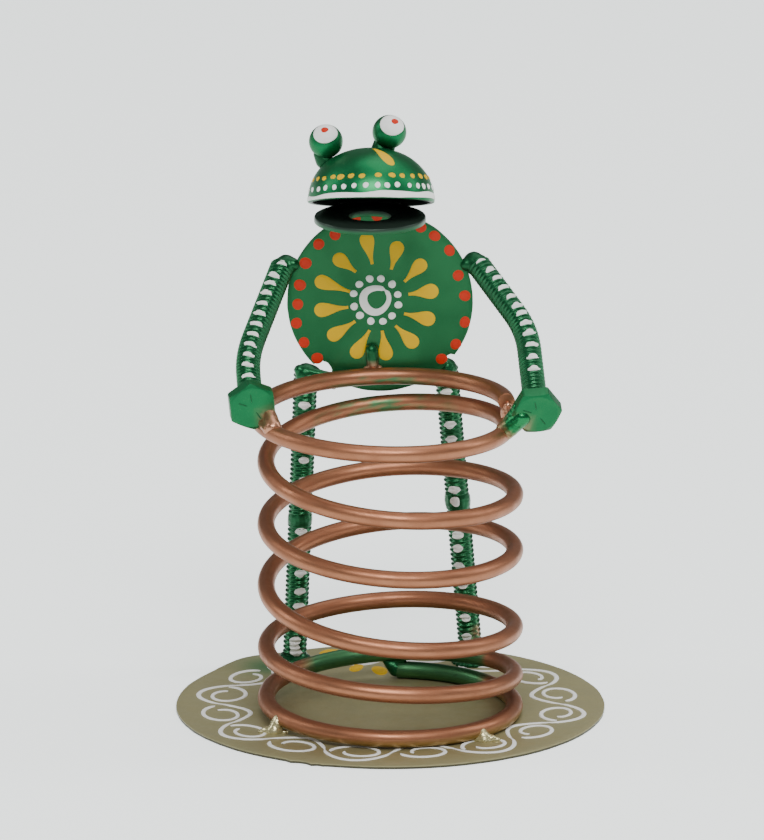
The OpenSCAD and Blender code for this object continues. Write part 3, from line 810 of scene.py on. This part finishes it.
# Welds round the disc: its lower rim to the tops of the legs and, in front, to the top ring of the coil.
left_hip, right_hip = legs["left"][1], legs["right"][1]
weld_lump("left_hip_weld", green_weld, 41, 0.06,
          bead((-1.5, -0.9, 0.3), 1.5, (8.6, -3.2, -1.3), 1.1, 16, left_hip),
          bead((0, -0.3, -0.9), 2.9, (1.4, -0.3, -1.1), 2.6, 4, left_hip),
          bead((1, -2.4, -1.8), 1.4, (7, -3.6, -3.0), 1.0, 9, left_hip))
weld_lump("right_hip_weld", green_weld, 42, 0.16, bead((0, -0.4, -0.8), 2.9, (-4.4, -2.2, -0.6), 1.6, 7, right_hip))
belly = Vector((belly_x, torso_front, belly_z))
belly_metal = weld_lump("belly_weld", green_weld, 43, 0.10,
                        bead((0.1, -0.5, -0.9), 1.4, (-0.2, -0.7, 4.2), 1.75, 9, belly),
                        bead((-1.6, -0.4, -0.8), 0.8, (1.8, -0.4, -0.6), 0.8, 5, belly))
mark(belly_metal, "copper_mist", lambda p: 0.9 - (p.z - belly_z) / 2.2)

# ------------------------------------------------------------------ arms and hands
# Each arm is one hexagon-head bolt with a full thread, bent at the elbow. Its cut end is welded to the
# disc's edge, and its head is the hand that leans on the coil. Green, with white half-moon dabs outside.
hex_af, hex_t = 11.1, 4.1
coil_top = torso_low.z + 7.4


def hand_place(degrees, out, up):
    """Middle of a hand's face, round the coil's top ring."""
    a = radians(degrees)
    return Vector(((coil_r + out) * sin(a) - top_lean, (coil_r + out) * cos(a) + coil_y, coil_top + up))


def facing(aside, down):
    aside, down = radians(aside), radians(down)
    return Vector((sin(aside) * cos(down), -cos(aside) * cos(down), -sin(down)))


def arm_corners(a, b, share, bulge):
    """Points of a bolt from a to b with one bend."""
    e = a.lerp(b, share) + Vector(bulge)
    p, q = e + 7 * (a - e).normalized(), e + 7 * (b - e).normalized()
    bend = [(1 - f) ** 2 * p + 2 * f * (1 - f) * e + f * f * q for f in even_steps(14)]
    return [a] + bend + [b]


def hex_head(face, out, roll):
    """A forged hexagon head: chamfered face, flat sides, a thin washer face at its back."""
    across = Vector((0, 0, 1)).cross(out).normalized()
    up = out.cross(across)
    face_r = hex_af / 2 * 0.95

    def hex_r(a):
        wedge = (a % (pi / 3)) - pi / 6
        return min(hex_af / 2 / cos(wedge), hex_af / sqrt(3) * 0.985)

    def chamfer(share, step=0.0):
        radius = lambda a: face_r + (hex_r(a) - face_r) * share
        return radius, lambda a: -0.03 - (radius(a) - face_r) * 0.55 - step

    rings = [(face_r * 0.45, 0.03), (face_r * 0.9, 0.02), (face_r, -0.03), chamfer(0.5), chamfer(0.93),
             chamfer(1.0, 0.1), (hex_r, 0.55 - hex_t), (lambda a: hex_r(a) - 0.12, 0.4 - hex_t),
             (hex_af / 2 * 0.94, 0.35 - hex_t), (hex_af / 2 * 0.9, -hex_t), (rod_r * 0.8, -hex_t)]
    c, s = cos(radians(roll)), sin(radians(roll))
    place = lambda x, y, h: face + out * h + (x * c - y * s) * across + (x * s + y * c) * up
    return (*turned(rings, 144, place, [face + out * 0.03, face - out * hex_t]), across, up)


hand_green = sprayed_paint("hand_green", (0.008, 0.135, 0.043), (0.006, 0.10, 0.034), (0.05, 0.30, 0.13), gloss=0.33,
                           metallic=0.65, mists=[("copper_mist", (0.46, 0.26, 0.17))])


def half_moon(rng, flip):
    """Edge of a dab that is round towards the shoulder and flat towards the hand."""
    size, lean = rng.uniform(0.92, 1.06), flip * rng.uniform(0.10, 0.26)
    edge = [((-1.35 if sin(a) > 0 else -0.5) * sin(a) * size, 2.0 * size * cos(a)) for a in round_angles(28)]
    return [(u + lean * v, v) for u, v in edge]


def shoulder(side, up):
    a = radians(23)
    return Vector((torso_mid.x + side * (torso_r * cos(a) + rod_r), torso_front + 1.3,
                   torso_mid.z + torso_r * sin(a) - 1.2 + up))


# The cut end, the middle of the hand's face, the way it faces, the bend's share of the way down and how far
# it is pushed out, and the dabs: (distance down the arm, millimetres aside).
arms = {
    "left": (shoulder(-1, 0.6), hand_place(246.4, 3.9, 1.1), facing(9, 10), 0.625, (-3.9, 0, -1.4),
             [(6.2, -1.4), (9.2, -1.5), (12.8, -1.6), (16.7, -1.5), (20.5, -1.1), (24.5, -0.8), (28.3, -0.5),
              (32.3, -0.2), (36.4, 0.0), (40.4, 0.0), (45.0, 0.0)]),
    "right": (shoulder(1, 1.4), hand_place(108, 9.4, -1.0), facing(5, 21), 0.477, (5.4, 0, 0.3),
              [(5.9, 1.9), (9.2, 2.2), (13.0, 2.0), (16.6, 2.2), (20.3, 2.0), (23.4, 1.7), (26.8, 1.3),
               (30.4, 1.0), (34.6, 0.9), (39.0, 0.7), (43.0, 0.7)])}
hand_rolls = {"left": -23, "right": 5}
arm_rng = random.Random(5)
hands = {}
for side, (top, face, out, share, bulge, dabs) in arms.items():
    sign = -1 if side == "left" else 1
    bolt = ThreadedBar(arm_corners(top, face - hex_t * out + out * 0.4, share, bulge), Vector((0, 0, 1)))
    make_piece(side + "_arm_thread", *bolt.mesh(), thread_green, "frog_green", [side + "_arm_bolt"], sharp=180)
    moons = thread_dabs(bolt, dabs, lambda: half_moon(arm_rng, -sign))
    ahead = Vector((0.40 * (sign > 0) - 0.05, -0.84, 0.52)).normalized()
    over = Vector((1, 0, 0)).cross(ahead).normalized()
    on_shoulder = lambda u, v, lift: top + Vector((0, -0.3, -0.3)) + (3.05 + lift) * (
        ahead * cos(hypot(u, v) / 3.1) + (over.cross(ahead) * -u + over * -v) / 3.1).normalized()
    moons.append(brush_spot(on_shoulder, 0, 0, oval(1.5, 1.45, 0, 0.06, arm_rng), 0.2))
    painted(side + "_arm_dabs", moons, white_enamel)

    pts, fs, across, up = hex_head(face, out, hand_rolls[side])
    head = make_piece(side + "_hand_head", pts, fs, hand_green, "frog_green", sharp=22)
    hands[side] = (face, out, across, up)
    corner = face + across * (4.6 if side == "left" else -4.2) - up * 3.2
    mark(head, "copper_mist", lambda p: 0.9 * exp(-((p - corner).length / 2.1) ** 2) * (0.9 + noise.noise(p)))
    on_face = lambda u, v, lift: face + across * u + up * v + out * (lift + 0.03)
    strokes = [[((1.5 + 2.3 * t) * cos(a), (1.5 + 2.3 * t) * sin(a)) for t in even_steps(8)]
               for a in (radians(100), radians(160), radians(305))]
    painted(side + "_hand_strokes", [brush_line(on_face, line, lambda t: 0.35, 0.12) for line in strokes],
            green_weld[0])

    rim = Vector((torso_mid.x + sign * (torso_r - 0.4) * cos(radians(23)), torso_front + 0.8,
                  torso_mid.z + torso_r * sin(radians(23))))
    weld_lump(side + "_shoulder_weld", green_weld, 50 + sign, 0.06,
              bead((0, -0.3, -0.3), 3.0, (-sign, 0.3, 0.2), 2.9, 5, top),
              bead(top + Vector((-sign, 0.4, 0.6)), 2.6, rim + Vector((sign * 0.6, -0.2, 0.3)), 1.7, 9))

face, out, across, up = hands["left"]
ring_at = coil_point(5.67) + Vector((0.6, 0, wire_r - 0.8))
left_hand_metal = weld_lump(
    "left_hand_weld", copper_weld, 61, 0.07,
    bead(face + across * 4.3 - up * 2.2 - out * 0.9, 1.7, ring_at + Vector((-0.4, -0.5, 0.0)), 2.2, 10),
    bead(face + across * 2.4 - up * 4.4 - out * 1.4, 1.2, ring_at + Vector((-1.5, -0.6, -0.4)), 1.5, 8))
mark(left_hand_metal, "green_mist", lambda p: (p - ring_at).length / 5 - 0.9)
face, out, across, up = hands["right"]
ring_at = coil_point(5.295) + Vector((0.8, 0, wire_r - 1.0))
right_hand_metal = weld_lump(
    "right_hand_weld", copper_weld, 62, 0.07,
    bead(face - across * 3.7 - up * 1.5 - out * 0.9, 2.3, ring_at + Vector((0.0, -0.6, 0.0)), 2.5, 10),
    bead(face - across * 4.8 + up * 0.6 - out * 1.9, 1.5, ring_at + Vector((0, 0.4, 0.8)), 1.6, 6))
mark(right_hand_metal, "green_mist", lambda p: ((p - ring_at).length - 2.2) / 2.0 + 0.3 * noise.noise(p))
low, high = coil_point(last_turn - 1), coil_point(last_turn)
weld_lump("coil_finish_weld", copper_weld, 63, 0.16,
          bead(low + Vector((0, 0.3, wire_r)), 1.5, high - Vector((0, 0, wire_r)), 1.5, 5),
          bead(high + Vector((0.4, -0.6, -1.0)), 1.2, low + Vector((1.0, -0.6, 1.8)), 1.1, 5))

# ------------------------------------------------------------------ jaw
# A flat stamped washer that lies on the disc's top edge as the lower jaw, its edges rounded by the press
# on one side, with a run of weld under it. It is sprayed dark green, and painted shade darkens its top, under the
# cap.
jaw_low, jaw_high, jaw_mid = box_mm("jaw_washer")
washer_r, hole_r, washer_t = (jaw_high.x - jaw_low.x) / 2, 5.25, jaw_high.z - jaw_low.z
jaw_green = sprayed_paint("jaw_green", (0.008, 0.100, 0.032), (0.005, 0.060, 0.022), (0.04, 0.26, 0.11), gloss=0.32,
                          metallic=0.55, flakes=0.2, mists=[("painted_shade", (0.036, 0.056, 0.044))])
washer_profile = [
    (hole_r, 0.15), (hole_r, washer_t - 0.3), (hole_r + 0.08, washer_t - 0.1), (hole_r + 0.28, washer_t),
    (9.0, washer_t), (washer_r - 0.45, washer_t), (washer_r - 0.16, washer_t - 0.1), (washer_r, washer_t - 0.4),
    (washer_r, 0.8), (washer_r, 0.25), (washer_r - 0.08, 0.08), (washer_r - 0.25, 0.0), (9.0, 0.0),
    (hole_r + 0.15, 0.0)]


def on_washer(x, y, h):
    p = Vector((x, y, h))
    return Vector((jaw_mid.x, jaw_mid.y, jaw_low.z)) + p + Vector((0, 0, 0.06 * noise.noise(p * 0.4)))


jaw = make_piece("jaw_washer_plate", *turned(washer_profile, 120, on_washer, loop=True), jaw_green, "frog_green",
                 ["jaw_washer"])
# Painted shade: the washer's top and the upper part of its side are darkened where the cap hangs over them.
mark(jaw, "painted_shade", lambda p: 0.95 * limited((p.z - jaw_low.z - 0.35) / 0.8))
weld_lump("neck_weld", green_weld, 71, 0.16, *(
    bead((torso_mid.x - 7, y, jaw_low.z - drop), r, (torso_mid.x + 5, y, jaw_low.z - drop), end_r, count)
    for y, drop, r, end_r, count in ((torso_front + 0.35, 0.35, 0.8, 0.8, 18),
                                     (torso_back + 0.3, 0.8, 1.1, 1.0, 14))))

# ------------------------------------------------------------------ head
# A thin pressed cap, tipped back over the washer and welded to its rear edge. Sprayed green, its inside darkened
# with painted shade, with a row of yellow dots, a row of white dots, a white lip and a yellow drop at the crown.
dome_low, dome_high, dome_mid = box_mm("head_dome")
dome_r, dome_h, dome_wall, dome_power = (dome_high.x - dome_low.x) / 2, 13.8, 1.2, 2.15
dome_tilt = radians(18.5)
dome_c = Vector((dome_mid.x, dome_low.y + dome_r * cos(dome_tilt), dome_low.z + dome_r * sin(dome_tilt)))
tilt_back = Matrix.Rotation(-dome_tilt, 3, "X")


def cap_curve(a, r, h):
    """A point of the cap's side curve, at an angle up from its rim."""
    return r * max(0.0, cos(a)) ** (2 / dome_power), h * max(0.0, sin(a)) ** (2 / dome_power)


def on_dome(u, v, lift):
    """u is the angle round the cap from its front, v the angle up its curve, both in degrees."""
    a, v = radians(u), radians(v)
    r, h = cap_curve(v, dome_r, dome_h)
    nr, nh = (r / dome_r) ** (dome_power - 1) / dome_r, (h / dome_h) ** (dome_power - 1) / dome_h
    size = hypot(nr, nh)
    r, h = r + lift * nr / size, h + lift * nh / size
    return dome_c + tilt_back @ Vector((r * sin(a), -r * cos(a), h))


def on_cap(x, y, h):
    p = Vector((x, y, h))
    return dome_c + tilt_back @ (p * (1 + 0.004 * noise.noise(p * 0.12)))


cap_angles = (1.5, 4, 8, 13, 18, 24, 30, 36, 42, 48, 54, 60, 66, 72, 77, 81, 84, 86.5, 88.5)
cap_profile = [cap_curve(radians(a), dome_r - dome_wall, dome_h - dome_wall) for a in reversed(cap_angles)]
cap_profile += [(dome_r - dome_wall + 0.05, 0.12), (dome_r - dome_wall + 0.25, 0.0), (dome_r - 0.25, 0.0),
                (dome_r - 0.05, 0.12)]
cap_profile += [cap_curve(radians(a), dome_r, dome_h) for a in cap_angles]
crowns = [dome_c + tilt_back @ Vector((0, 0, h)) for h in (dome_h - dome_wall, dome_h)]
dome_green = sprayed_paint("dome_green", (0.010, 0.150, 0.050), (0.007, 0.110, 0.038), (0.06, 0.36, 0.17), gloss=0.35,
                           metallic=0.85, drift=0.3, peel=0.1, mists=[("painted_shade", (0.028, 0.040, 0.034))])
cap = make_piece("head_cap", *turned(cap_profile, 144, on_cap, crowns), dome_green, "frog_green", ["head_dome"])


def inside_cap(p):
    q = tilt_back.inverted() @ (p - dome_c)
    r, h = hypot(q.x, q.y), q.z
    return 1.0 if (r / (dome_r - 0.55)) ** dome_power + (max(0, h) / (dome_h - 0.55)) ** dome_power < 1 else 0.0


# Painted shade: the inside of the cap is darkened.
mark(cap, "painted_shade", inside_cap)
cap_rng = random.Random(21)
yellow_dots, white_dots = [], []
# The dots that show from the front are unevenly spaced; the rest of each row is even. A degree up or round
# the cap is less than a third of a millimetre, so each dot's edge is scaled from millimetres to degrees.
for u in (-78, -64, -52, -40, -31, -20, -9, 7, 21, 32, 45, 58, 70, 82) + tuple(range(94, 275, 13)):
    big = 1.25 if u == -31 else cap_rng.uniform(0.90, 1.05)
    lean = cap_rng.uniform(-0.3, 0.3)
    height = 23.2 + 1.6 * sin(radians(u)) + cap_rng.uniform(-0.5, 0.5)
    edge = [(x * 3.9, y * 3.5) for x, y in oval(0.90 * big, 0.84 * big, lean, 0.06, cap_rng)]
    yellow_dots.append(brush_spot(on_dome, u, height, edge, 0.14))
for u in (-84, -70, -57, -47, -36, -26, -16, -5, 6, 15, 25, 38, 49, 58, 68, 80) + tuple(range(91, 267, 11)):
    size = cap_rng.uniform(0.74, 0.86)
    height = 12.2 + 1.9 * sin(radians(u)) + cap_rng.uniform(-0.4, 0.4)
    edge = [(x * 3.7, y * 3.5) for x, y in oval(size * 0.92, size * 1.08, 0, 0.05, cap_rng)]
    white_dots.append(brush_spot(on_dome, u, height, edge, 0.16))
drop = [(t, 0.4 + 1.5 * (t * t * (3 - 2 * t)) ** 0.8) for t in even_steps(12)]
drop_edge = drop + [(1 + 1.35 * sin(pi * i / 10) / 4.3, 1.9 * cos(pi * i / 10)) for i in range(1, 10)]
drop_edge += [(t, -w) for t, w in reversed(drop)]
drop_tip, drop_end = (4, 72), (21, 46)


def drop_place(u, v, lift):
    """u runs along the drop from its tip, v across it in millimetres."""
    top, low = Vector(on_dome(*drop_tip, 0)), Vector(on_dome(*drop_end, 0))
    ahead = (low - top).normalized()
    q = tilt_back.inverted() @ (top.lerp(low, u) + ahead.cross(Vector((0, -0.7, 0.7))).normalized() * v - dome_c)
    azimuth, climb = in_degrees(atan2(q.x, -q.y)), hypot(q.x, q.y)
    return on_dome(azimuth, in_degrees(acos(min(1.0, (climb / dome_r) ** (dome_power / 2)))), lift)


drop_spot = brush_spot(drop_place, 0.7, 0, [(t - 0.7, w) for t, w in drop_edge], 0.14, rings=6)
painted("cap_yellow_dots", yellow_dots + [drop_spot], yellow_enamel)
lip_points, lip_faces, lip_steps = [], [], 240
lip_heights = [(0.0, -0.04), (0.06, 0.12), (0.5, 0.16), (0.93, 0.12), (1.0, -0.04)]
n = len(lip_heights)
for i in range(lip_steps):
    u = -180 + 360 * i / lip_steps
    s = sin(radians(u))
    low_edge = 0.7 + 3.6 * max(0.0, s - 0.45) + 0.1 * sin(radians(7 * u))
    high_edge = 6.1 + 1.9 * s + 0.75 * cos(radians(7 * (u - 16))) + 0.2 * sin(radians(13 * u))
    lip_points += [on_dome(u, low_edge + (high_edge - low_edge) * t, lift) for t, lift in lip_heights]
    j = (i + 1) % lip_steps
    lip_faces += [(i * n + k, j * n + k, j * n + k + 1, i * n + k + 1) for k in range(n - 1)]
painted("cap_white_dots", white_dots + [(lip_points, lip_faces)], white_enamel)
mouth_metal = weld_lump("mouth_weld", green_weld, 72, 0.16, [
    (Vector((jaw_mid.x + (washer_r - 0.4) * sin(a), jaw_mid.y + (washer_r - 0.4) * cos(a), jaw_high.z + 0.2)),
     1.15 + 0.15 * sin(9 * a)) for a in [radians(-30 + 60 * t) for t in even_steps(16)]])
# Painted shade: the weld under the cap's rear rim is darkened all over.
mark(mouth_metal, "painted_shade", lambda p: 1.0)

# ------------------------------------------------------------------ eyes
# Two bearing balls welded to the top of the cap and sprayed green. A brush gave each a white cap that
# looks forward and up, and a small red pupil.
eye_white = brushed_paint("eye_white", (0.80, 0.80, 0.78), (0.66, 0.66, 0.64), 0.22)
# Where its white faces and how many degrees wide it is, where its pupil faces, where its weld starts and
# ends, counted from the ball's middle, and a seed.
eyes = {
    "left": ((-0.04, -0.62, 0.78), 46, (-0.07, -0.57, 0.82), (-1.5, -0.4, -3.2), (-0.4, -0.4, -4.8), 81),
    "right": ((0.22, -0.66, 0.72), 47, (0.32, -0.56, 0.76), (-2.4, -0.3, -3.0), (-2.3, -0.3, -4.4), 82)}


def on_ball(centre, r, axis):
    """A surface(u, v, lift) in millimetres over a ball, from where it meets an axis."""
    axis = Vector(axis).normalized()
    right = axis.cross(Vector((0, 0, 1))).normalized()
    over = right.cross(axis)

    def surface(u, v, lift):
        far = hypot(u, v)
        return centre + (r + lift) * (axis * cos(far / r) + (right * u + over * v) / max(far, 1e-9) * sin(far / r))

    return surface


for side, (gaze, cap_degrees, pupil, weld_from, weld_to, seed) in eyes.items():
    ball_low, ball_high, ball_c = box_mm(side + "_eye_ball")
    ball_r = (ball_high.x - ball_low.x) / 2
    shape = bmesh.new()
    bmesh.ops.create_icosphere(shape, subdivisions=5, radius=1.0)
    fs = [tuple(v.index for v in f.verts) for f in shape.faces]
    ways = [v.co.normalized() for v in shape.verts]
    shape.free()
    pts = [ball_c + d * (ball_r - 0.02 + 0.05 * noise.noise(d * 2.5 + Vector((seed, 0, 0))) * max(0.0, 0.5 - d.z))
           for d in ways]
    make_piece(side + "_eye_bearing", pts, fs, dome_green, "eye_paint", [side + "_eye_ball"], sharp=180)
    white_r = ball_r * radians(cap_degrees)
    painted(side + "_eye_white", [brush_spot(on_ball(ball_c, ball_r, gaze), 0, 0, oval(
        white_r, white_r * 0.97, 0, 0.02, cap_rng, 48), 0.14, rings=12)], eye_white, "eye_paint")
    painted(side + "_eye_pupil", [brush_spot(
        lambda u, v, lift: on_ball(ball_c, ball_r, pupil)(u, v, lift + 0.13), 0, 0,
        oval(1.02, 0.95, 0.2, 0.05, cap_rng), 0.12)], red_enamel, "eye_paint")
    weld_lump(side + "_eye_weld", green_weld, seed, 0.05, bead(weld_from, 1.7, weld_to, 2.3, 6, ball_c),
              bead((0.1, 0.4, -3.6), 1.2, (0.2, 0.4, -4.3), 1.3, 4, ball_c))
